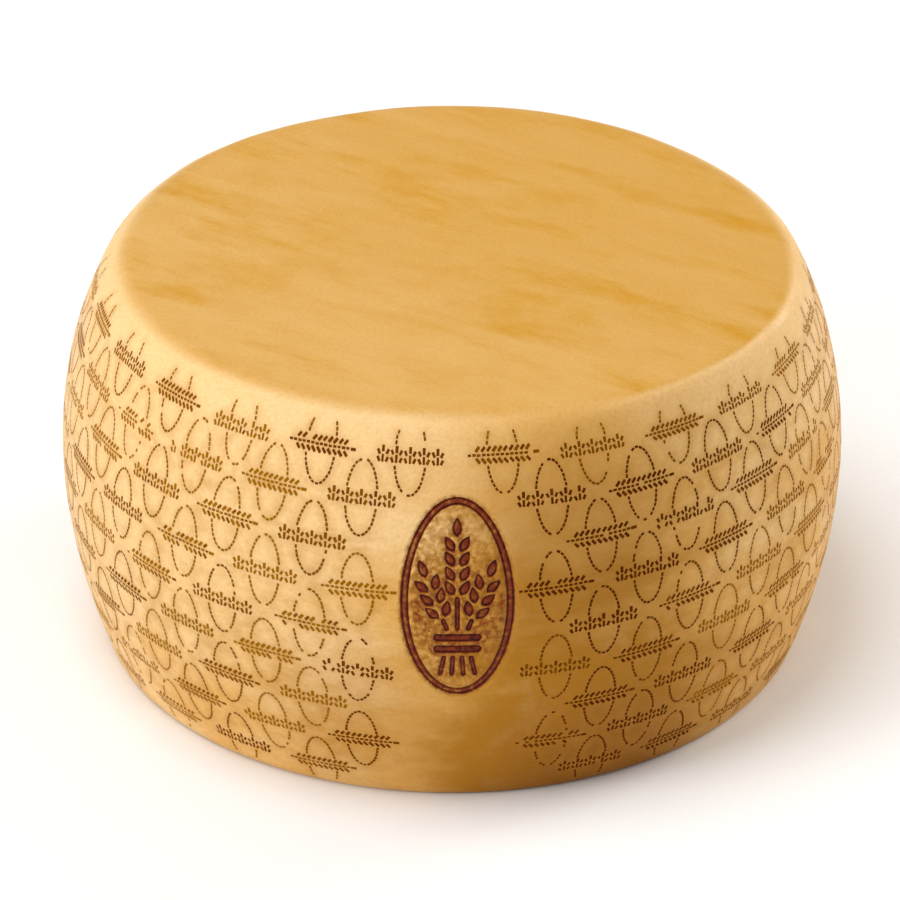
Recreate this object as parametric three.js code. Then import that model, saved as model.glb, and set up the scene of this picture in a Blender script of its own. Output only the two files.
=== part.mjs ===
// A whole wheel of hard, aged, grainy cheese, lying flat on its base. It is one solid piece.
// Millimetres, +Z up. The origin is the centre of the base, and the burnt mark's side faces -Y.
import * as THREE from 'three';

// Driving dimensions.
const wheelDiameter = 420; // across the widest line of the bulging side
const wheelHeight = 220; // from the base to the top face
const widestHeight = 107; // how high the widest line of the side lies above the base
const upperSideRadius = 223; // curve of the side, above the widest line
const lowerSideRadius = 297; // curve of the side, below the widest line
const topEdgeRadius = 16; // soft upper rim
const baseEdgeRadius = 5; // tighter rim that the wheel's weight has pressed flat

// How finely the curves are cut.
const sidesAround = 96;
const sideSteps = 9;
const topEdgeSteps = 7;
const baseEdgeSteps = 4;

// Centre of the edge curve that is tangent both to a flat face and, from inside, to the side's curve.
// edgeHeight is the height of that centre, and sideRadius is the radius of the side's curve there.
function edgeCentre(edgeHeight, edgeRadius, sideRadius) {
  const sideCentre = wheelDiameter / 2 - sideRadius;
  const reach = sideRadius - edgeRadius;
  const rise = edgeHeight - widestHeight;
  return new THREE.Vector2(sideCentre + Math.sqrt(reach * reach - rise * rise), edgeHeight);
}

// Angle, seen from the centre of the side's curve, at which the edge curve takes over.
function tangentAngle(centre, sideRadius) {
  const sideCentre = wheelDiameter / 2 - sideRadius;
  return Math.atan2(centre.y - widestHeight, centre.x - sideCentre);
}

// Points along an arc, both ends included.
function arcPoints(centre, radius, fromAngle, toAngle, steps) {
  const points = [];
  for (let step = 0; step <= steps; step += 1) {
    const angle = fromAngle + ((toAngle - fromAngle) * step) / steps;
    points.push(new THREE.Vector2(centre.x + radius * Math.cos(angle), centre.y + radius * Math.sin(angle)));
  }
  return points;
}

// Half of the wheel's section, from the middle of the base, up the side, to the middle of the top.
function wheelProfile() {
  const baseEdge = edgeCentre(baseEdgeRadius, baseEdgeRadius, lowerSideRadius);
  const topEdge = edgeCentre(wheelHeight - topEdgeRadius, topEdgeRadius, upperSideRadius);
  const baseAngle = tangentAngle(baseEdge, lowerSideRadius);
  const topAngle = tangentAngle(topEdge, upperSideRadius);
  const lowerCentre = new THREE.Vector2(wheelDiameter / 2 - lowerSideRadius, widestHeight);
  const upperCentre = new THREE.Vector2(wheelDiameter / 2 - upperSideRadius, widestHeight);
  return [
    new THREE.Vector2(0, 0),
    ...arcPoints(baseEdge, baseEdgeRadius, -Math.PI / 2, baseAngle, baseEdgeSteps),
    ...arcPoints(lowerCentre, lowerSideRadius, baseAngle, 0, sideSteps).slice(1),
    ...arcPoints(upperCentre, upperSideRadius, 0, topAngle, sideSteps).slice(1),
    ...arcPoints(topEdge, topEdgeRadius, topAngle, Math.PI / 2, topEdgeSteps).slice(1),
    new THREE.Vector2(0, wheelHeight),
  ];
}

function cheeseWheel() {
  const geometry = new THREE.LatheGeometry(wheelProfile(), sidesAround);
  geometry.rotateX(Math.PI / 2);
  const rind = new THREE.MeshStandardMaterial({ color: 0xddb56c, roughness: 0.5, metalness: 0 });
  const wheel = new THREE.Mesh(geometry, rind);
  wheel.name = 'cheese_wheel';
  return wheel;
}

const cheese = new THREE.Group();
cheese.add(cheeseWheel());

export default cheese;
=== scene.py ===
import math

import bpy
import numpy as np
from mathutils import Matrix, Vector
from mathutils.geometry import delaunay_2d_cdt


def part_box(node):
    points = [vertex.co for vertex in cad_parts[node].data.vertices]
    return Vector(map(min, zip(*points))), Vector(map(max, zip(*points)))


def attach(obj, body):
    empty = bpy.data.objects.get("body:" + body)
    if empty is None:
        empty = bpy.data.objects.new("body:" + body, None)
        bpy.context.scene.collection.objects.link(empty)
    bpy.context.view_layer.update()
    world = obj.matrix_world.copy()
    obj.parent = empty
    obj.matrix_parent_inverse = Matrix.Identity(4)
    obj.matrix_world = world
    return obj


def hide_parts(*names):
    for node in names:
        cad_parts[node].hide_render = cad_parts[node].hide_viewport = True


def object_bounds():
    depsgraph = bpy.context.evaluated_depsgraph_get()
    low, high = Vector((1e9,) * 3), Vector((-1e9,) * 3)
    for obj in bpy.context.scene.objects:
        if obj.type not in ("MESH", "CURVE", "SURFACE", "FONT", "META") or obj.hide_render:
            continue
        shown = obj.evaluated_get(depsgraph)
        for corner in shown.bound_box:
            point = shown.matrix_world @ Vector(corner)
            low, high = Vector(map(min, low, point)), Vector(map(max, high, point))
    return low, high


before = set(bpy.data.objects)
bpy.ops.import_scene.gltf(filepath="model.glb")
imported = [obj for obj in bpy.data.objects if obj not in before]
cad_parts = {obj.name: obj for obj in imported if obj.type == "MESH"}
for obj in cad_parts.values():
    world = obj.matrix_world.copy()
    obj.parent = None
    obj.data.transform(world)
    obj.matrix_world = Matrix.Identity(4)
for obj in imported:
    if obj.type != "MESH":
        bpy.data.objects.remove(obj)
cadLow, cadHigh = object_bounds()
print("frame loaded, CAD box", [round(side, 4) for side in cadHigh - cadLow])

mm = 0.001
wheelRadius = (cadHigh.x - cadLow.x) / 2 / mm
wheelHeight = (cadHigh.z - cadLow.z) / mm
random = np.random.default_rng(21)

# the wheel's shape; all lengths are in millimetres
wheel = {
    "widestHeight": 107.0,
    "upperSideRadius": 223.0,
    "lowerSideRadius": 297.0,
    "baseEdge": 5.0,
    "softEdge": 23.0,  # rim radius over most of the way round
    "crispEdge": 7.0,  # rim radius where the rim stayed crisp
    "crispAt": 50.0,  # degrees to the right of the front
    "crispSpread": 38.0,
    "wobbles": [(3, 1.6, 0.7), (5, 1.1, 2.0)],  # how often round the rim, how much, phase
    "crispWobble": 0.3,  # share of the wobble left where the rim is crisp
    "shoulder": 5.0,  # how far the crisp rim stands out
    "shoulderFrom": 40.0,  # it starts this far above the widest line
    "shoulderRise": 70.0,  # and is full after this much more
    "skinInset": 0.75,  # room under the CAD surface for lumps
    "lump": 0.45,
    "lumps": [(150, 3, 0.7), (45, 4, 0.3)],  # wavelength, seed, share
    "lumpFade": (12.0, 8.0),  # the lumps fade out over these lengths at the base and at the rim
    "stretchFrom": 92.0,  # above this the skin is stretched to meet the rim
    "stripTop": 126.0,
    "topRelief": 0.35,
    "topWave": (110, 8, 0.65),  # wavelength, seed, share
    "topStrokes": (34, 9, 0.35),
    "topLimits": (-2.0, 1.8),  # how many times the relief the top face may dip and rise
    "baseRelief": 0.5,
    "baseWave": (90, 10),
    "faceFade": 14.0,  # both faces run level for this far from their edge
}


def waves(points, wavelength, seed, count=9):
    # a smooth seeded ripple in space, about -1 to 1
    draw = np.random.default_rng(seed)
    total = np.zeros(len(points))
    for _ in range(count):
        direction = draw.normal(size=3)
        direction *= 2 * math.pi / (wavelength * draw.uniform(0.7, 1.5) * np.linalg.norm(direction))
        total += np.sin(points @ direction + draw.uniform(0, 2 * math.pi))
    return total / math.sqrt(count)


def crispness(theta):
    away = (theta - math.radians(wheel["crispAt"]) + math.pi) % (2 * math.pi) - math.pi
    return np.exp(-((away / math.radians(wheel["crispSpread"])) ** 2))


def rimRadius(theta):
    crisp = crispness(theta)
    wobble = sum(size * np.sin(count * theta + phase) for count, size, phase in wheel["wobbles"])
    wobble = wobble * (1 - (1 - wheel["crispWobble"]) * crisp)
    return wheel["softEdge"] * (1 - crisp) + wheel["crispEdge"] * crisp + wobble


baseReach = wheel["lowerSideRadius"] - wheel["baseEdge"]
baseFall = math.asin((wheel["widestHeight"] - wheel["baseEdge"]) / baseReach)
sideBottom = -wheel["lowerSideRadius"] * baseFall
stripBottom = sideBottom - wheel["baseEdge"] * (math.pi / 2 - baseFall)


def section(theta, along):
    # radius, height and the normal's rise at a length along the section, 0 at the widest line
    radius = wheelRadius - wheel["skinInset"]
    top = wheelHeight - wheel["topRelief"] * 2
    up, low, widest = wheel["upperSideRadius"], wheel["lowerSideRadius"], wheel["widestHeight"]
    rim = rimRadius(theta)
    rise = np.arcsin((top - rim - widest) / (up - rim))
    sideTop = up * rise
    fullLength = sideTop + rim * (math.pi / 2 - rise)
    start = wheel["stretchFrom"]
    stretch = (fullLength - start) / (wheel["stripTop"] - start)
    along = np.where(along > start, start + (along - start) * stretch, along)

    side = np.where(along > 0, up, low)
    angle = along / side
    r = radius - side + side * np.cos(angle)
    z = widest + side * np.sin(angle)

    onRim = along > sideTop
    rimAngle = rise + (along - sideTop) / rim
    r = np.where(onRim, radius - up + (up - rim) * np.cos(rise) + rim * np.cos(rimAngle), r)
    z = np.where(onRim, top - rim + rim * np.sin(rimAngle), z)
    angle = np.where(onRim, rimAngle, angle)

    base = wheel["baseEdge"]
    onBase = along < sideBottom
    baseAngle = -baseFall + (along - sideBottom) / base
    r = np.where(onBase, radius - low + (low - base) * math.cos(baseFall) + base * np.cos(baseAngle), r)
    z = np.where(onBase, base + base * np.sin(baseAngle), z)
    angle = np.where(onBase, baseAngle, angle)

    lift = np.clip((along - wheel["shoulderFrom"]) / wheel["shoulderRise"], 0, 1)
    r = r + wheel["shoulder"] * crispness(theta) * lift * lift * (3 - 2 * lift)
    return r, z, angle


def skinPoints(across, along, depth):
    # from the unrolled skin (across, along) to the wheel, pushed in by depth
    theta = across / wheelRadius
    r, z, angle = section(theta, along)
    outward = np.stack([np.cos(angle) * np.sin(theta), -np.cos(angle) * np.cos(theta), np.sin(angle)], 1)
    points = np.stack([r * np.sin(theta), -r * np.cos(theta), z], 1)
    lumps = wheel["lump"] * sum(share * waves(points, size, seed) for size, seed, share in wheel["lumps"])
    baseFade, rimFade = wheel["lumpFade"]
    fade = np.clip((along - sideBottom) / baseFade, 0, 1)
    fade = fade * np.clip((wheel["stripTop"] - along) / rimFade, 0, 1)
    return points + outward * (np.clip(lumps, -1, 1) * fade - depth)[:, None]


# the mould's prick pattern, laid out on the unrolled skin
pricks = {
    "columns": 26,
    "rows": 9,
    "firstRow": 97.0,
    "rowPitch": 23.7,
    "markAt": 0.65,  # degrees; the columns are counted from here
    "clearOfMark": 9.5,  # degrees kept plain on each side of the mark, below its first row
    # length and width of each kind of prick
    "dash": (2.05, 1.35),
    "leaf": (2.7, 1.55),
    "grain": (3.35, 1.7),
    "stem": (3.8, 1.4),
    "depth": 0.6,
    "archWidth": 8.6,
    "archHeight": 19.6,
    "archStep": 2.5,
    "archFrom": 6.0,  # the arches stay this far from the band's middle line
    "rowDrift": 0.5,
    "lean": 0.012,
    "jitter": 0.07,
    "size": (0.88, 0.16),  # smallest share of the full size, and the spread above it
    "worn": 0.1,  # share of the groups that are worn
    "missing": (0.015, 0.16),  # share of pricks missing from a sound and from a worn group
    "tone": (0.2, 0.14),  # middle and spread from group to group; lower is darker
    "toneDrift": 0.14,  # from prick to prick
    "faint": (-100.0, 104.0, 0.22),  # below and above these heights the pricks are paler by this much
    # turn and height of each darker or paler area, how far it reaches either way, how much darker
    "prickToneAreas": [
        (0.4, 0.0, 0.62, 500.0, 0.34),
        (1.25, 0.0, 0.4, 500.0, -0.25),
        (0.42, -92.0, 0.32, 30.0, 0.4),
    ],
    "shadeStep": (0.34, 0.2),  # tones below minus the first take the darkest shade, then one shade per step
    "gap": 0.07,  # least room between two rims
    "cell": 4.2,  # longer than any prick
    "seamClear": 3.0,
    "baseClear": 1.5,
    "highest": 110.5,  # no prick above this height of the skin
    "firstRowHighest": 12.5,  # above the first row's middle the arches are cut off here
}


def archDashes(upward):
    # dashes along half an upright oval that stands behind the band
    width, height = pricks["archWidth"], pricks["archHeight"]
    turn = np.linspace(0, math.pi, 241)
    x, y = width * np.cos(turn), height * np.sin(turn)
    length = np.concatenate([[0], np.cumsum(np.hypot(np.diff(x), np.diff(y)))])
    start = np.interp(pricks["archFrom"], y[:121], length[:121])
    count = round((length[-1] - 2 * start) / pricks["archStep"])
    marks = []
    for place in np.linspace(start, length[-1] - start, count + 1):
        t = np.interp(place, length, turn)
        lean = math.atan2(height * math.cos(t), -width * math.sin(t))
        marks.append((width * math.cos(t), upward * height * math.sin(t), upward * lean, "dash"))
    return marks


# the ear's places, counted from the middle of its band: first, end and step
ear = {
    "stem": (-18.2, 16.0, 2.6),
    "pairs": (-13.6, 16.5, 3.1),
    "grainOut": 2.82,
    "grainLean": 0.85,
    "tipAt": 18.7,
}


def earBand():
    # a lying ear: a dotted stem with a slanting pair of grains at each step
    out, lean = ear["grainOut"], ear["grainLean"]
    marks = [(x, 0.0, 0.0, "dash") for x in np.arange(*ear["stem"])]
    for x in np.arange(*ear["pairs"]):
        marks.append((x, out, lean, "grain"))
        marks.append((x, -out, -lean, "grain"))
    marks.append((ear["tipAt"], 0.0, 0.0, "grain"))
    return marks


sprig = {
    "places": (-15.2, 15.5, 7.6),  # first, end and step
    "grainUp": 2.6,
    "stemUp": -1.75,
    "leavesUp": (1.15, -2.35),
    "leafOut": 2.38,
    "leafLean": 1.08,
}


def sprigBand():
    # five small sprigs side by side: a grain on a stem with two pairs of leaves
    marks = []
    for x in np.arange(*sprig["places"]):
        marks.append((x, sprig["grainUp"], math.pi / 2, "grain"))
        marks.append((x, sprig["stemUp"], math.pi / 2, "stem"))
        for side in (-1, 1):
            for y in sprig["leavesUp"]:
                marks.append((x + side * sprig["leafOut"], y, side * sprig["leafLean"], "leaf"))
    return marks


bands = [earBand(), sprigBand()]
arches = archDashes(1) + archDashes(-1)


def touching(one, other, gap):
    # whether two leaning rectangles (across, along, lean, length, width) come nearer than the gap
    dx, dy = other[0] - one[0], other[1] - one[1]
    for lean in (one[2], other[2]):
        for axisX, axisY in ((math.cos(lean), math.sin(lean)), (-math.sin(lean), math.cos(lean))):
            reach = gap
            for _, _, turn, length, width in (one, other):
                c, s = math.cos(turn), math.sin(turn)
                reach += abs(c * axisX + s * axisY) * length / 2 + abs(c * axisY - s * axisX) * width / 2
            if abs(dx * axisX + dy * axisY) > reach:
                return False
    return True


class Crowd:
    # remembers where pricks stand, so that no two rims touch
    def __init__(self, cell, gap):
        self.cell, self.gap = cell, gap
        self.kept = {}

    def place(self, prick):
        return int(prick[0] // self.cell), int(prick[1] // self.cell)

    def fits(self, prick):
        i, j = self.place(prick)
        cells = [(i + a, j + b) for a in (-1, 0, 1) for b in (-1, 0, 1)]
        near = [other for cell in cells for other in self.kept.get(cell, ())]
        return not any(touching(prick, other, self.gap) for other in near)

    def keep(self, prick):
        self.kept.setdefault(self.place(prick), []).append(prick)


def placePricks():
    # every prick as (across, along, lean, length, width, tone)
    placed, crowd = [], Crowd(pricks["cell"], pricks["gap"])
    pitch = 2 * math.pi / pricks["columns"]
    reach = math.pi * wheelRadius - pricks["seamClear"]
    lowest = sideBottom + pricks["baseClear"]
    smallest, spread = pricks["size"]
    faintBelow, faintAbove, fainter = pricks["faint"]
    for row in range(pricks["rows"]):
        rowHeight = pricks["firstRow"] - pricks["rowPitch"] * row
        for column in range(pricks["columns"]):
            theta = math.radians(pricks["markAt"]) + pitch * (column + (0.5 if row % 2 == 0 else 0.0))
            theta = (theta + math.pi) % (2 * math.pi) - math.pi
            offMark = math.degrees(theta) - pricks["markAt"]
            tone = random.normal(*pricks["tone"])
            for turn, level, wide, tall, strength in pricks["prickToneAreas"]:
                away = ((theta - turn) / wide) ** 2 + ((rowHeight - level) / tall) ** 2
                tone -= strength * math.exp(-away)
            lean = random.normal(0, pricks["lean"])
            missing = pricks["missing"][int(random.uniform(0, 1) < pricks["worn"])]
            if row > 0 and abs(offMark) < pricks["clearOfMark"]:
                continue
            middle = rowHeight + random.normal(0, pricks["rowDrift"])
            for x, y, turn, kind in bands[(column + row // 2) % 2] + arches:
                jitter = random.normal(0, pricks["jitter"], 2)
                skip, shade = random.uniform(0, 1, 2)
                across = theta * wheelRadius + x - y * lean + jitter[0]
                along = middle + y + x * lean + jitter[1]
                if abs(across) > reach or along < lowest or along > pricks["highest"]:
                    continue
                if row == 0 and y > pricks["firstRowHighest"] or skip < missing:
                    continue
                size = smallest + spread * shade
                length, width = (side * size for side in pricks[kind])
                prick = (across, along, turn + lean, length, width)
                if not crowd.fits(prick):
                    continue
                crowd.keep(prick)
                faint = fainter if along > faintAbove or along < faintBelow else 0.0
                placed.append((*prick, tone + pricks["toneDrift"] * shade + faint))
    return placed


# oil gathers round the pricks: how thick they stand, on a 1 mm grid of the unrolled skin
stainMap = {
    "tall": 270,
    "middle": 130,
    "spare": 8,
    "blur": 1.9,
    "blurReach": 6,
    "full": 0.12,  # pricks per square millimetre that stain fully
}


def stainField(placed):
    half = int(math.pi * wheelRadius) + stainMap["spare"]
    grid = np.zeros((2 * half, stainMap["tall"]))
    for across, along, *_ in placed:
        grid[int(across + half), int(along + stainMap["middle"])] += 1
    reach = np.arange(-stainMap["blurReach"], stainMap["blurReach"] + 1)
    blur = np.exp(-reach**2 / (2 * stainMap["blur"]**2))
    blur /= blur.sum()
    for axis in (0, 1):
        grid = np.apply_along_axis(lambda line: np.convolve(line, blur, "same"), axis, grid)
    return np.clip(grid / stainMap["full"], 0, 1), half


allPricks = placePricks()
stain, stainHalf = stainField(allPricks)
print("pricks placed:", len(allPricks))

# the burnt mark: an oval ring round a tied sheaf of three ears
mark = {
    "centre": (math.radians(0.75) * wheelRadius, 21.7),
    "ring": (26.9, 53.3),  # half width and half height of the ring's middle
    "step": 1.3,  # between the points of a line
    "groove": 1.3,  # depth
    "plate": (31.5, 58.5),  # half width and half height of the finely meshed area
    "fill": 2.0,
    "sunk": 0.2,  # how deep the ground lies inside the ring
    "grain": (10.0, 5.5),
    "grainLean": 0.5,
    "grainPitch": 7.8,
    "grainFrom": (3.9, 4.5),  # the first pair's distance from the ear's middle line and from the stem's end
    "tip": (1.0, 5.5),  # the top grain is this much longer and starts this far up
    # foot, lean, stem length and pairs of grains of each ear
    "ears": [((0.0, -17.0), 0.0, 20.0, 4), ((4.8, -17.0), -0.36, 8.0, 3), ((-4.8, -17.0), 0.36, 8.0, 3)],
    "stemWidth": 3.0,
    "tie": (12.5, -20.7, -27.4),  # half width of the two bars and their heights
    "barWidth": 4.9,
    "stalks": (4, 4.4, 13.0),  # how many, how far apart, how long
    "stalkSplay": 0.13,
    "stalkGap": 3.5,
    "ground": (0.17, 0.2, -6.0, 24.0),  # scorch inside the ring: least, how much more, where, how far
}
# (offset from the line's middle, depth as a share of the groove, burn)
ringSteps = [
    (-2.3, 0.0, 0.24),
    (-1.5, 1.0, 1.0),
    (-0.6, 0.3, 0.52),
    (0.6, 0.3, 0.52),
    (1.5, 1.0, 1.0),
    (2.3, 0.0, 0.24),
]
# (inset from the outline, depth share, burn)
grainSteps = [(0.0, 0.0, 0.3), (0.75, 1.0, 1.0), (1.55, 0.35, 0.55)]
barSteps = [(0.0, 0.0, 0.35), (0.7, 1.0, 1.1), (1.35, 0.4, 0.7)]
stemSteps = [(0.0, 0.0, 0.3), (0.65, 1.0, 1.0), (1.2, 0.4, 0.6)]


def evenly(points, step):
    # points at even steps round a closed line
    points = np.vstack([points, points[:1]])
    length = np.concatenate([[0], np.cumsum(np.hypot(*np.diff(points, axis=0).T))])
    count = max(4, round(length[-1] / step))
    places = np.linspace(0, length[-1], count + 1)[:-1]
    return np.stack([np.interp(places, length, points[:, 0]), np.interp(places, length, points[:, 1])], 1)


def grainLoop(length, width, inset):
    # a pointed oval, fuller towards its lower end, lying along +Y
    length, width = length - 2.6 * inset, width - 2 * inset
    t = np.linspace(0, 1, 60, endpoint=False)
    half = 0.5 * width * np.sin(math.pi * t) ** 0.75 * (1 + 0.2 * np.cos(math.pi * t))
    y = (t - 0.5) * length
    return np.vstack([np.stack([half, y], 1), np.stack([-half, y], 1)[:0:-1]])


def barLoop(length, width, inset):
    # a round-ended bar lying along +Y
    radius = width / 2 - inset
    straight = max(length / 2 - inset - radius, 0.01)
    turn = np.linspace(0, math.pi, 24)
    cap = np.stack([radius * np.cos(turn), straight + radius * np.sin(turn)], 1)
    return np.vstack([cap, -cap])


def turned(points, lean, middle):
    c, s = math.cos(lean), math.sin(lean)
    return np.array(points) @ np.array([[c, s], [-s, c]]) + np.array(middle)


def markLoops():
    # closed loops as (points, depth, burn)
    loops = []
    a, b = mark["ring"]
    turn = np.linspace(0, 2 * math.pi, 400, endpoint=False)
    for offset, depth, burn in ringSteps:
        oval = np.stack([(a + offset) * np.cos(turn), (b + offset) * np.sin(turn)], 1)
        loops.append((evenly(oval, mark["step"]), depth, burn))

    def shape(outline, steps, length, width, lean, middle):
        for inset, depth, burn in steps:
            loop = evenly(outline(length, width, inset), mark["step"])
            loops.append((turned(loop, lean, middle), depth, burn))

    length, width = mark["grain"]
    out, up = mark["grainFrom"]
    tipLonger, tipUp = mark["tip"]
    for foot, lean, stem, pairs in mark["ears"]:
        def onEar(u, v):
            return turned([(u, v)], lean, foot)[0]

        shape(barLoop, stemSteps, stem, mark["stemWidth"], lean, onEar(0, stem / 2))
        for pair in range(pairs):
            for side in (-1, 1):
                spot = onEar(side * out, stem + up + pair * mark["grainPitch"])
                shape(grainLoop, grainSteps, length, width, lean - side * mark["grainLean"], spot)
        spot = onEar(0, stem + tipUp + pairs * mark["grainPitch"])
        shape(grainLoop, grainSteps, length + tipLonger, width, lean, spot)

    half, upper, lower = mark["tie"]
    for y in (upper, lower):
        shape(barLoop, barSteps, 2 * half, mark["barWidth"], math.pi / 2, (0, y))
    count, apart, length = mark["stalks"]
    for stalk in range(count):
        place = stalk - (count - 1) / 2
        splay = mark["stalkSplay"] * place
        middle = (apart * place + length / 2 * math.sin(splay), lower - mark["stalkGap"] - length / 2)
        shape(barLoop, stemSteps, length, mark["stemWidth"], splay, middle)
    return loops


# the skin's mesh
skin = {
    "around": 384,
    "baseAround": 288,
    "spacing": 6.6,
    "topRows": [99.0, 103.5, 107.5, 110.7, 113.4, 115.8, 118.0, 120.1, 122.1, 124.1],
    "baseRows": [-98.0, -102.5],
    "topSpacing": 6.5,
    "baseSpacing": 11.0,
    "seamSpacing": 4.0,
    "seamRise": 0.5,
    "seamHalf": 1.1,
    "seamRaised": (-92.0, 104.0),  # the mould's joint line stands up between these heights
    "seamFoot": (-100.0, 112.0),  # and its feet run between these
    "seamRoom": 2.4,  # no loose point nearer than this to the joint line
    "rowShare": 0.87,  # distance between rows of loose points, as a share of their spacing
    "rowClear": (4.5, 3.0),  # first and last row, from the rows at the base and at the rim
    "footRows": 6,  # rows of loose points round the base edge
    "capMargin": 0.55,  # share of the spacing left free round a face
    "cells": (260, 125),  # height of the grid of 1 mm cells, and where its zero is
}


class Sheet:
    # points gathered on the unrolled skin, with what each one carries
    def __init__(self):
        self.half = math.pi * wheelRadius
        self.across, self.along, self.depth, self.burn, self.kind = [], [], [], [], []
        self.edges = []
        # cells of 1 mm where a loose point would crowd another
        self.taken = np.zeros((2 * int(self.half) + 4, skin["cells"][0]), bool)

    def add(self, across, along, depth=0.0, burn=0.0, kind=0):
        self.across.append(across)
        self.along.append(along)
        self.depth.append(depth)
        self.burn.append(burn)
        self.kind.append(kind)
        return len(self.across) - 1

    def join(self, ids):
        self.edges += list(zip(ids[:-1], ids[1:]))

    def cell(self, across, along):
        return int(across + self.half + 1), int(along + skin["cells"][1])

    def free(self, across, along):
        return not self.taken[self.cell(across, along)]

    def fillRound(self, across, along, reach):
        i, j = self.cell(across, along)
        self.taken[max(i - reach, 0):i + reach + 1, max(j - reach, 0):j + reach + 1] = True


def addPricks(sheet):
    # four corners on the skin and a sunk middle; kind 1 is a corner, 2 and up are middles by shade
    darkest, step = pricks["shadeStep"]
    for across, along, lean, length, width, tone in allPricks:
        c, s = math.cos(lean), math.sin(lean)
        corners = []
        for u, v in ((-1, -1), (1, -1), (1, 1), (-1, 1)):
            du, dv = u * length / 2, v * width / 2
            corners.append(sheet.add(across + du * c - dv * s, along + du * s + dv * c, kind=1))
        shade = int(np.clip((tone + darkest) / step, 0, 3))
        sheet.add(across, along, depth=pricks["depth"], kind=2 + shade)
        sheet.join(corners + corners[:1])
        sheet.fillRound(across, along, 2)


def addMark(sheet):
    middle = np.array(mark["centre"])
    for outline, depth, burn in markLoops():
        loop = []
        for point in outline + middle:
            loop.append(sheet.add(point[0], point[1], depth * mark["groove"], burn))
            sheet.fillRound(point[0], point[1], 1)
        sheet.join(loop + loop[:1])

    # a fine grid between the lines, sunk and lightly scorched inside the ring
    wide, tall = mark["plate"]
    ringWide, ringTall = mark["ring"]
    least, more, darkestAt, reach = mark["ground"]
    for row, v in enumerate(np.arange(-tall, tall, mark["fill"])):
        for u in np.arange(-wide + (row % 2) * mark["fill"] / 2, wide, mark["fill"]):
            if sheet.free(middle[0] + u, middle[1] + v):
                inside = (u / ringWide) ** 2 + (v / ringTall) ** 2 < 1
                scorched = least + more * math.exp(-((v - darkestAt) / reach) ** 2)
                sheet.add(middle[0] + u, middle[1] + v, mark["sunk"] * inside, scorched * inside)
    i, j = sheet.cell(middle[0] - wide, middle[1] - tall)
    sheet.taken[i:i + int(2 * wide), j:j + int(2 * tall)] = True


def addRings(sheet):
    # loose points in staggered rings, where no prick or mark is in the way
    def ring(along, count, row):
        for k in range(count):
            across = -sheet.half + (k + 0.5 * (row % 2) + 0.25) * 2 * sheet.half / count
            if sheet.free(across, along) and abs(across) < sheet.half - skin["seamRoom"]:
                sheet.add(across, along)

    spacing = skin["spacing"]
    first, last = skin["rowClear"]
    rows = np.arange(skin["baseRows"][0] + first, skin["topRows"][0] - last, spacing * skin["rowShare"])
    for row, along in enumerate(rows):
        ring(along, round(2 * sheet.half / spacing), row)
    for row, along in enumerate(skin["topRows"]):
        ring(along, skin["around"], row)
    for row, along in enumerate(skin["baseRows"]):
        ring(along, skin["baseAround"], row)
    for row, along in enumerate(np.linspace(sideBottom, stripBottom, skin["footRows"] + 1)[:-1]):
        ring(along, skin["baseAround"], row)


def addEnds(sheet):
    # the top and bottom lines, and the two ends that meet at the back
    ends = {}
    lines = [("top", wheel["stripTop"], skin["around"]), ("base", stripBottom, skin["baseAround"])]
    for name, along, count in lines:
        ends[name] = [sheet.add(-sheet.half + k * 2 * sheet.half / count, along) for k in range(count + 1)]
        sheet.join(ends[name])
    # the mould closed at the back and left a thin raised line down the side
    count = round((wheel["stripTop"] - stripBottom) / skin["seamSpacing"])
    places = np.linspace(stripBottom, wheel["stripTop"], count + 1)[1:-1]
    low, high = skin["seamRaised"]
    footLow, footHigh = skin["seamFoot"]
    for side, end in ((-1, 0), (1, -1)):
        line = [ends["base"][end]]
        for place in places:
            line.append(sheet.add(side * sheet.half, place, -skin["seamRise"] * float(low < place < high)))
        line.append(ends["top"][end])
        sheet.join(line)
        ends[side] = line
        footAcross = side * (sheet.half - skin["seamHalf"])
        sheet.join([sheet.add(footAcross, place) for place in places if footLow < place < footHigh])
    return ends


def triangles(points, edges):
    # constrained triangles of flat points, as indices into those points
    # where two lines cross, the crossing comes back as a new point
    made = delaunay_2d_cdt([Vector(p) for p in points], edges, [], 0, 1e-6, True)
    crossings, origin = [], []
    for place, ids in zip(made[0], made[3]):
        origin.append(ids[0] if ids else len(points) + len(crossings))
        if not ids:
            crossings.append(tuple(place))
    if crossings:
        print("lines cross at", [(round(x, 1), round(y, 1)) for x, y in crossings[:8]])
    return np.array([[origin[i] for i in face] for face in made[2]]), crossings


def capPoints(ring, spacing, margin):
    # a staggered grid inside a closed ring of points
    radii = np.hypot(ring[:, 0], ring[:, 1])
    turns = np.arctan2(ring[:, 0], -ring[:, 1])
    order = np.argsort(turns)
    reach = radii.max()
    inside = []
    for row, y in enumerate(np.arange(-reach, reach, spacing * skin["rowShare"])):
        for x in np.arange(-reach + (row % 2) * spacing / 2, reach, spacing):
            limit = np.interp(math.atan2(x, -y), turns[order], radii[order], period=2 * math.pi)
            if math.hypot(x, y) < limit - margin:
                inside.append((x, y))
    return np.array(inside)


def outwardFirst(faces, points, up):
    a, b, c = (points[faces[:, i]] for i in range(3))
    turn = (b[:, 0] - a[:, 0]) * (c[:, 1] - a[:, 1]) - (b[:, 1] - a[:, 1]) * (c[:, 0] - a[:, 0])
    wrong = (turn > 0) != up
    faces[wrong] = faces[wrong][:, ::-1]
    return faces


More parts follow.
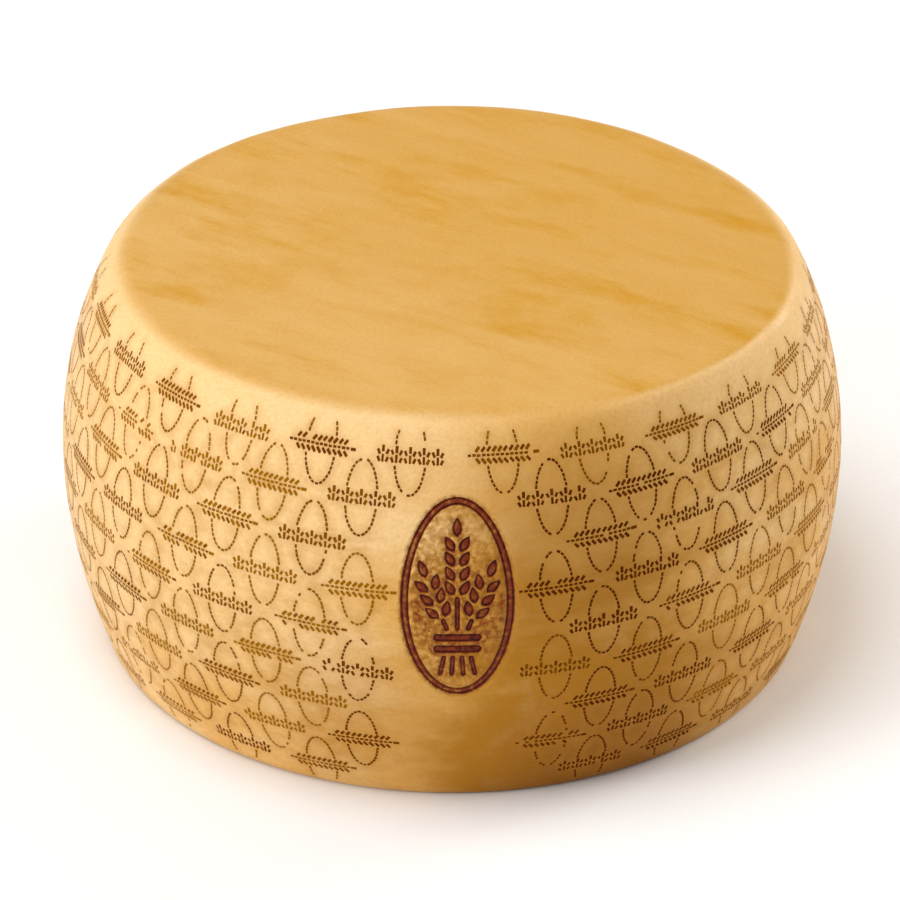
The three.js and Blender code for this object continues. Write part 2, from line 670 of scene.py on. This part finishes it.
def faceHeight(name, inner, ring):
    # a face is gently uneven, and level where it meets the side
    spread = np.c_[inner, np.zeros(len(inner))]
    edge = np.hypot(*ring[:, :2].T).min()
    fade = np.clip((edge - np.hypot(*inner.T)) / wheel["faceFade"], 0, 1)
    if name == "base":
        return wheel["baseRelief"] * (0.5 + 0.5 * waves(spread, *wheel["baseWave"])).clip(0, 1) * fade
    size, seed, share = wheel["topWave"]
    relief = share * waves(spread, size, seed)
    size, seed, share = wheel["topStrokes"]
    relief = relief + share * waves(spread * [0.5, 1.6, 1], size, seed)
    return ring[:, 2].mean() + wheel["topRelief"] * np.clip(relief, *wheel["topLimits"]) * fade


def buildSkin():
    sheet = Sheet()
    addPricks(sheet)
    addMark(sheet)
    addRings(sheet)
    ends = addEnds(sheet)
    faces, crossings = triangles(np.stack([sheet.across, sheet.along], 1), sheet.edges)
    for across, along in crossings:
        sheet.add(across, along)
    flat = np.stack([sheet.across, sheet.along], 1)
    faces = outwardFirst(faces, flat, True)
    print("side triangles:", len(faces))
    # the two ends of the unrolled skin are one line on the wheel
    merge = np.arange(len(flat))
    merge[ends[1]] = ends[-1]
    points = skinPoints(flat[:, 0], flat[:, 1], np.array(sheet.depth))

    allPoints, allFaces = [points], [merge[faces]]
    faceAcross, faceAlong = [flat[faces][:, :, 0]], [flat[faces][:, :, 1]]
    zone = [np.zeros(len(faces), int)]
    total = len(points)
    for name, spacing, zoneId in (("top", skin["topSpacing"], 1), ("base", skin["baseSpacing"], 2)):
        ringIds = merge[np.array(ends[name][:-1])]
        ring = points[ringIds]
        inner = capPoints(ring[:, :2], spacing, spacing * skin["capMargin"])
        ringEdges = [(k, (k + 1) % len(ring)) for k in range(len(ring))]
        both = np.vstack([ring[:, :2], inner])
        capFaces = outwardFirst(triangles(both, ringEdges)[0], both, name == "top")
        allPoints.append(np.c_[inner, faceHeight(name, inner, ring)])
        ids = np.concatenate([ringIds, np.arange(total, total + len(inner))])
        allFaces.append(ids[capFaces])
        faceAcross.append(both[capFaces][:, :, 0])
        faceAlong.append(both[capFaces][:, :, 1])
        zone.append(np.full(len(capFaces), zoneId))
        total += len(inner)
        print(name, "triangles:", len(capFaces))

    points, faces = np.vstack(allPoints), np.vstack(allFaces)
    across, along, zone = np.vstack(faceAcross), np.vstack(faceAlong), np.concatenate(zone)
    stainRow = np.clip(flat[:, 1] + stainMap["middle"], 0, stainMap["tall"] - 1).astype(int)
    oily = stain[(flat[:, 0] + stainHalf).astype(int), stainRow]
    onFaces = np.zeros(total - len(flat))  # the faces have no prick and no burn
    stained = np.concatenate([oily, onFaces])
    burn = np.concatenate([sheet.burn, onFaces])
    kind = np.concatenate([sheet.kind, onFaces.astype(int)])
    used = np.unique(faces)
    renumber = np.full(len(points), -1)
    renumber[used] = np.arange(len(used))
    return points[used], renumber[faces], across, along, zone, burn[used], kind[used], stained[used]


# the bake map: the side in four strips, both faces, and the mark on a larger scale
bakeMap = {
    "pixels": 1024.0,
    "sideScale": 1.35,
    "topScale": 1.08,
    "baseScale": 0.8,
    "markScale": 3.1,
    "gap": 8.0,
    "stripMargin": 8.0,
    "markHalf": (31.0, 58.0),
    "markMargin": 1.5,
}


def bakePlaces(across, along, zone):
    size, gap = bakeMap["pixels"], bakeMap["gap"]
    places = np.zeros((*across.shape, 2))
    half = math.pi * wheelRadius
    quarter = half / 2
    strip = np.clip(((across.mean(1) + half) // quarter).astype(int), 0, 3)
    scale, margin = bakeMap["sideScale"], bakeMap["stripMargin"]
    stripWide = (quarter + 2 * margin) * scale
    stripTall = (wheel["stripTop"] - stripBottom) * scale
    side = zone == 0
    v = gap + ((strip // 2) * (stripTall + gap))[:, None] + (along - stripBottom) * scale
    fromStrip = across + (half - strip * quarter)[:, None] + margin
    u = gap + ((strip % 2) * (stripWide + gap))[:, None] + fromStrip * scale
    places[side] = np.stack([u, v], -1)[side]

    bottom = 3 * gap + 2 * stripTall
    left = gap
    for zoneId, capScale in ((1, bakeMap["topScale"]), (2, bakeMap["baseScale"])):
        cap = zone == zoneId
        reach = max(np.abs(across[cap]).max(), np.abs(along[cap]).max()) * capScale
        u, v = left + reach + across[cap] * capScale, bottom + reach + along[cap] * capScale
        places[cap] = np.stack([u, v], -1)
        left += 2 * reach + gap

    markX, markY = mark["centre"]
    wide, tall = bakeMap["markHalf"]
    onMark = side & (np.abs(across.mean(1) - markX) < wide) & (np.abs(along.mean(1) - markY) < tall)
    scale, margin = bakeMap["markScale"], bakeMap["markMargin"]
    u = left + (across - markX + wide + margin) * scale
    v = bottom + (along - markY + tall + margin) * scale
    places[onMark] = np.stack([u, v], -1)[onMark]
    return places / size


def newMesh():
    points, faces, across, along, zone, burn, kind, stained = buildSkin()
    mesh = bpy.data.meshes.new("cheeseWheelSkin")
    mesh.vertices.add(len(points))
    mesh.vertices.foreach_set("co", (points * mm).ravel())
    mesh.loops.add(faces.size)
    mesh.loops.foreach_set("vertex_index", faces.ravel())
    mesh.polygons.add(len(faces))
    mesh.polygons.foreach_set("loop_start", np.arange(0, faces.size, 3))
    mesh.update(calc_edges=True)
    mesh.validate()
    mesh.polygons.foreach_set("use_smooth", np.ones(len(faces), bool))

    # a prick's rim stays sharp, and the faces that meet its middle take its colour
    faceKind = kind[faces].max(1)
    mesh.polygons.foreach_set("material_index", np.where(faceKind > 1, faceKind - 1, 0))
    ends = np.zeros(len(mesh.edges) * 2, int)
    mesh.edges.foreach_get("vertices", ends)
    ends = ends.reshape(-1, 2)
    inPrick = np.sort(faces[faceKind > 1], 1)
    rim = np.concatenate([inPrick[:, [0, 1]], inPrick[:, [1, 2]], inPrick[:, [0, 2]]])
    rim = rim[(kind[rim] == 1).all(1)]
    keys = set((rim[:, 0] * len(points) + rim[:, 1]).tolist())
    sharp = [key in keys for key in (ends.min(1) * len(points) + ends.max(1)).tolist()]
    mesh.edges.foreach_set("use_edge_sharp", sharp)

    mesh.attributes.new("burn", "FLOAT", "POINT").data.foreach_set("value", burn.astype(np.float32))
    mesh.attributes.new("stain", "FLOAT", "POINT").data.foreach_set("value", stained.astype(np.float32))
    bake = mesh.uv_layers.new(name="OFBake")
    bake.uv.foreach_set("vector", bakePlaces(across, along, zone).ravel())
    return mesh


skinMesh = newMesh()
wheelObject = bpy.data.objects.new("cheeseWheel", skinMesh)
wheelObject.location = ((cadLow.x + cadHigh.x) / 2, (cadLow.y + cadHigh.y) / 2, cadLow.z)
bpy.context.scene.collection.objects.link(wheelObject)
print("cheese wheel:", len(skinMesh.vertices), "points,", len(skinMesh.polygons), "faces")

# the rind's colours and finish
rind = {
    "top": (0.66, 0.37, 0.096),
    "topSmear": (0.58, 0.272, 0.010),
    "topPale": (0.72, 0.44, 0.15),
    "pale": (0.86, 0.575, 0.262),
    "warm": (0.72, 0.392, 0.10),
    "gold": (0.43, 0.178, 0.005),
    # painted light: the side is paler round here, on the upper left front that faces the key light
    "paintedLightAt": (-0.21, -0.10, 0.12),
    "goldAt": (0.06, -0.198, 0.034),  # the height here is halved, so the patch stands tall
    "deepAt": (0.12, 0.10, 0.22),  # where the top face is deepest in colour
    "stain": (0.43, 0.175, 0.006),
    # painted shade: the colour the side is darkened to in its shaded patches
    "paintedShade": (0.285, 0.102, 0.003),
    # place, reach and strength of the patches of painted shade on the front
    "paintedShadePatches": [
        ((0.076, -0.183, 0.004), 0.095, 1.0),
        ((-0.05, -0.2, 0.05), 0.075, 0.3),
        ((0.058, -0.195, 0.15), 0.085, 0.42),
    ],
    "tan": (0.36, 0.145, 0.008),
    "scorch": (0.205, 0.028, 0.005),
    "char": (0.05, 0.004, 0.003),
    "roughness": (0.36, 0.54),
    "gloss": 0.13,
    "bump": (0.35, 0.0006),  # strength, and depth in metres
    "glow": 0.12,  # light that soaks into the paste
    "glowColour": (1.0, 0.5, 0.2),
    "glowDepth": 0.004,
    "wipedAt": -34.0,  # degrees, the slant of the smears on the top face
    "brushedAt": -30.0,
}
prickPaint = {
    "colours": [(0.11, 0.02, 0.0), (0.155, 0.038, 0.0), (0.215, 0.07, 0.0), (0.3, 0.12, 0.001)],
    "roughness": (0.5, 0.8),
    "gloss": 0.03,
    "bump": (0.4, 0.0003),  # strength, and depth in metres
}


class Nodes:
    # small helper that adds and joins nodes in one material
    def __init__(self, name):
        self.material = bpy.data.materials.new(name)
        self.material.use_nodes = True
        self.tree = self.material.node_tree
        self.shader = self.tree.nodes["Principled BSDF"]

    def add(self, kind, **inputs):
        node = self.tree.nodes.new("ShaderNode" + kind)
        for name, value in inputs.items():
            self.set(node.inputs[name.replace("_", " ")], value)
        return node

    def set(self, socket, value):
        if isinstance(value, bpy.types.NodeSocket):
            self.tree.links.new(value, socket)
        elif isinstance(value, tuple) and len(value) == 3 and socket.type == "RGBA":
            socket.default_value = (*value, 1)
        else:
            socket.default_value = value

    def noise(self, vector, scale, detail=3.0, rough=0.5):
        node = self.add("TexNoise", Vector=vector, Scale=scale, Detail=detail, Roughness=rough)
        return node.outputs["Fac"]

    def stretched(self, vector, scale, turn=0.0):
        # scale below 1 packs the pattern across the turned axis
        node = self.add("Mapping")
        node.vector_type = "TEXTURE" if turn else "POINT"
        node.inputs["Rotation"].default_value = (0, 0, turn)
        self.set(node.inputs["Vector"], vector)
        node.inputs["Scale"].default_value = scale
        return node.outputs[0]

    def distance(self, vector, spot):
        node = self.add("VectorMath")
        node.operation = "DISTANCE"
        self.set(node.inputs[0], vector)
        node.inputs[1].default_value = spot
        return node.outputs["Value"]

    def between(self, value, low, high, toLow=0.0, toHigh=1.0):
        node = self.add("MapRange", Value=value)
        for place, number in enumerate((low, high, toLow, toHigh), 1):
            node.inputs[place].default_value = number
        node.interpolation_type = "SMOOTHSTEP"
        return node.outputs[0]

    def bump(self, height, strength, depth):
        node = self.add("Bump", Height=height, Strength=strength, Distance=depth)
        self.set(self.shader.inputs["Normal"], node.outputs[0])

    def maths(self, operation, a, b=0.0):
        node = self.add("Math")
        node.operation = operation
        self.set(node.inputs[0], a)
        self.set(node.inputs[1], b)
        return node.outputs[0]

    def mix(self, share, a, b, blend="MIX"):
        node = self.add("Mix")
        node.data_type = "RGBA"
        node.blend_type = blend
        self.set(node.inputs[0], share)
        self.set(node.inputs[6], a)
        self.set(node.inputs[7], b)
        return node.outputs[2]


def rindMaterial():
    n = Nodes("rind")
    place = n.add("TexCoord").outputs["Object"]
    height = n.add("SeparateXYZ", Vector=place).outputs["Z"]
    normalUp = n.add("SeparateXYZ", Vector=n.add("TexCoord").outputs["Normal"]).outputs["Z"]
    tall = wheelHeight * mm

    # the side is paler towards the top, warm over most of its height and gold in soft patches near the
    # base; painted light makes it paler on the upper left front
    level = n.stretched(place, (1, 1, 2.6))
    drift = n.between(n.noise(level, 12, 5, 0.62), 0.28, 0.72, -0.2, 0.2)
    belowRim = n.between(height, 0.78 * tall, 0.93 * tall, 1.0, 0.25)
    tone = n.between(height, 0.0, 0.95 * tall, 0.585, 0.15)
    tone = n.maths("ADD", tone, n.maths("MULTIPLY", drift, belowRim))
    goldAway = n.distance(n.stretched(place, (1, 1, 0.5)), rind["goldAt"])
    tone = n.maths("ADD", tone, n.between(goldAway, 0.02, 0.12, 0.54, 0.0))
    # painted light: paler round the upper left front, where the key light falls
    tone = n.maths("SUBTRACT", tone, n.between(n.distance(place, rind["paintedLightAt"]), 0.04, 0.30, 0.48, 0.0))
    side = n.mix(n.between(tone, 0.0, 0.5), rind["pale"], rind["warm"])
    side = n.mix(n.between(tone, 0.42, 1.05), side, rind["gold"])
    fleck = n.between(n.noise(level, 52, 5, 0.7), 0.46, 0.74, 0, 0.24)
    side = n.mix(n.maths("MULTIPLY", fleck, belowRim), side, rind["gold"])
    light = n.between(n.noise(place, 38, 5, 0.7), 0.46, 0.8, 0, 0.24)
    side = n.mix(n.maths("MULTIPLY", light, belowRim), side, rind["pale"])

    # painted shade: the side is darkened round each of these patches
    for patch, reach, strength in rind["paintedShadePatches"]:
        away = n.distance(place, patch)
        side = n.mix(n.between(away, 0.15 * reach, reach, strength, 0.0), side, rind["paintedShade"])

    # oil darkens the rind round the pricks
    oily = n.add("Attribute")
    oily.attribute_name = "stain"
    patchy = n.between(n.noise(place, 30, 3, 0.6), 0.3, 0.7, 0.26, 0.66)
    side = n.mix(n.maths("MULTIPLY", oily.outputs["Fac"], patchy), side, rind["stain"])

    # the top face was wiped slantwise: gold smears and soft lighter strokes
    wiped = n.stretched(place, (1, 0.3, 1), math.radians(rind["wipedAt"]))
    smear = n.between(n.noise(wiped, 12, 7, 0.66), 0.47, 0.72, 0, 0.95)
    blotch = n.between(n.noise(place, 15, 6, 0.68), 0.5, 0.72, 0, 0.6)
    dry = n.between(n.noise(wiped, 7, 4, 0.6), 0.4, 0.66, 0, 0.4)
    brushed = n.stretched(place, (1, 0.25, 1), math.radians(rind["brushedAt"]))
    streaks = n.between(n.noise(brushed, 22, 3, 0.5), 0.35, 0.75, 0, 0.4)
    top = n.mix(streaks, rind["top"], rind["topPale"])
    top = n.mix(smear, top, rind["topSmear"])
    top = n.mix(blotch, top, rind["topSmear"])
    top = n.mix(dry, top, rind["topPale"])
    deepAway = n.distance(place, rind["deepAt"])
    top = n.mix(n.between(deepAway, 0.04, 0.34, 0.35, 0.0), top, rind["topSmear"])

    faceUp = n.between(normalUp, 0.8, 0.997)
    colour = n.mix(faceUp, side, top)
    grain = n.noise(place, 520, 3, 0.7)
    colour = n.mix(n.between(grain, 0.35, 0.75, 0, 0.2), colour, rind["gold"])

    # the iron scorched the mark's grooves
    burn = n.add("Attribute")
    burn.attribute_name = "burn"
    uneven = n.between(n.noise(place, 330, 4, 0.65), 0.3, 0.7, -1, 1)
    uneven = n.maths("MULTIPLY", uneven, n.between(burn.outputs["Fac"], 0.0, 0.4, 0.0, 0.2))
    heat = n.maths("ADD", burn.outputs["Fac"], uneven)
    colour = n.mix(n.between(heat, 0.04, 0.32, 0, 0.85), colour, rind["tan"])
    colour = n.mix(n.between(heat, 0.22, 0.58), colour, rind["scorch"])
    colour = n.mix(n.between(heat, 0.58, 0.95), colour, rind["char"])
    n.set(n.shader.inputs["Base Color"], colour)

    # oiled skin: gloss wanders a little, fine grain and soft brushing in the bump
    low, high = rind["roughness"]
    n.set(n.shader.inputs["Roughness"], n.between(n.noise(level, 40, 4, 0.6), 0.3, 0.7, low, high))
    fine = n.maths("MULTIPLY", n.noise(place, 1100, 2, 0.5), 0.45)
    coarse = n.noise(level, 230, 3, 0.55)
    strokes = n.maths("MULTIPLY", n.noise(brushed, 120, 3, 0.6), n.maths("MULTIPLY", faceUp, 0.4))
    relief = n.maths("ADD", fine, n.maths("ADD", coarse, strokes))
    n.bump(relief, *rind["bump"])
    n.shader.inputs["Subsurface Weight"].default_value = rind["glow"]
    n.shader.inputs["Subsurface Radius"].default_value = rind["glowColour"]
    n.shader.inputs["Subsurface Scale"].default_value = rind["glowDepth"]
    n.shader.inputs["Specular IOR Level"].default_value = rind["gloss"]
    return n.material


def prickMaterial(name, colour):
    # a dried puncture: its colour is plain, and its dullness and grain wander
    n = Nodes(name)
    place = n.add("TexCoord").outputs["Object"]
    n.shader.inputs["Base Color"].default_value = (*colour, 1)
    low, high = prickPaint["roughness"]
    n.set(n.shader.inputs["Roughness"], n.between(n.noise(place, 300, 3, 0.6), 0.3, 0.7, low, high))
    n.bump(n.noise(place, 1500, 2, 0.6), *prickPaint["bump"])
    n.shader.inputs["Specular IOR Level"].default_value = prickPaint["gloss"]
    return n.material


skinMesh.materials.append(rindMaterial())
for shade, colour in enumerate(prickPaint["colours"]):
    skinMesh.materials.append(prickMaterial(f"prickShade{shade + 1}", colour))
print("finishes made")

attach(wheelObject, "root")
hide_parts("cheese_wheel")

# floor, lamps and camera
studio = {
    "floor": (0.93, 0.93, 0.93),
    "floorReach": 6.0,
    "floorGap": 0.0002,
    "floorRoughness": 0.9,
    "world": (1.0, 0.995, 0.985),
    "worldStrength": 0.45,
    "elevation": 30.0,
    "distance": 12.0,  # in wheel radii
    "lens": 187.0,
    "sensor": 36.0,
    "aimShift": (-1.0, -12.2),  # millimetres in the picture plane, right and up
}
# name, degrees round from the front, degrees up, distance and size in metres, watts, colour
lamps = [
    ("keyLight", -64, 20, 3.2, 1.4, 40.5, (1.0, 0.99, 0.97)),
    ("frontFill", 0, 40, 3.2, 1.6, 4, (1.0, 1.0, 1.0)),
    ("rimLight", 120, 18, 3.2, 1.4, 50, (1.0, 0.96, 0.87)),
    ("topLight", -70, 74, 3.2, 2.0, 55, (1.0, 1.0, 1.0)),
]


def pointed(thing, place, target):
    thing.location = place
    thing.rotation_euler = (target - place).to_track_quat("-Z", "Y").to_euler()


def roundAbout(target, turn, elevation, distance):
    t, e = math.radians(turn), math.radians(elevation)
    return target + distance * Vector((math.sin(t) * math.cos(e), -math.cos(t) * math.cos(e), math.sin(e)))


def makeStudio():
    low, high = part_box("cheese_wheel")
    middle = (low + high) / 2
    floorMesh = bpy.data.meshes.new("floor")
    reach = studio["floorReach"]
    corners = [(-reach, -reach, 0), (reach, -reach, 0), (reach, reach, 0), (-reach, reach, 0)]
    floorMesh.from_pydata(corners, [], [(0, 1, 2, 3)])
    floor = bpy.data.objects.new("floor", floorMesh)
    floor.location.z = low.z - studio["floorGap"]
    bpy.context.scene.collection.objects.link(floor)
    paper = Nodes("paleFloor")
    paper.shader.inputs["Base Color"].default_value = (*studio["floor"], 1)
    paper.shader.inputs["Roughness"].default_value = studio["floorRoughness"]
    floorMesh.materials.append(paper.material)

    for name, turn, elevation, distance, size, watts, colour in lamps:
        light = bpy.data.lights.new(name, "AREA")
        light.shape, light.size, light.energy, light.color = "DISK", size, watts, colour
        lamp = bpy.data.objects.new(name, light)
        bpy.context.scene.collection.objects.link(lamp)
        pointed(lamp, roundAbout(middle, turn, elevation, distance), middle)

    world = bpy.data.worlds.new("studio")
    world.use_nodes = True
    world.node_tree.nodes["Background"].inputs[0].default_value = (*studio["world"], 1)
    world.node_tree.nodes["Background"].inputs[1].default_value = studio["worldStrength"]
    bpy.context.scene.world = world

    cameraData = bpy.data.cameras.new("camera")
    cameraData.sensor_width = studio["sensor"]
    cameraData.lens = studio["lens"]
    camera = bpy.data.objects.new("camera", cameraData)
    bpy.context.scene.collection.objects.link(camera)
    distance = studio["distance"] * wheelRadius * mm
    place = roundAbout(middle, 0, studio["elevation"], distance)
    pointed(camera, place, middle)
    bpy.context.view_layer.update()
    right, up = camera.matrix_world.col[0].to_3d(), camera.matrix_world.col[1].to_3d()
    camera.location = place + (right * studio["aimShift"][0] + up * studio["aimShift"][1]) * mm
    bpy.context.scene.camera = camera
    bpy.context.scene.view_settings.view_transform = "Standard"


makeStudio()
print("studio made")
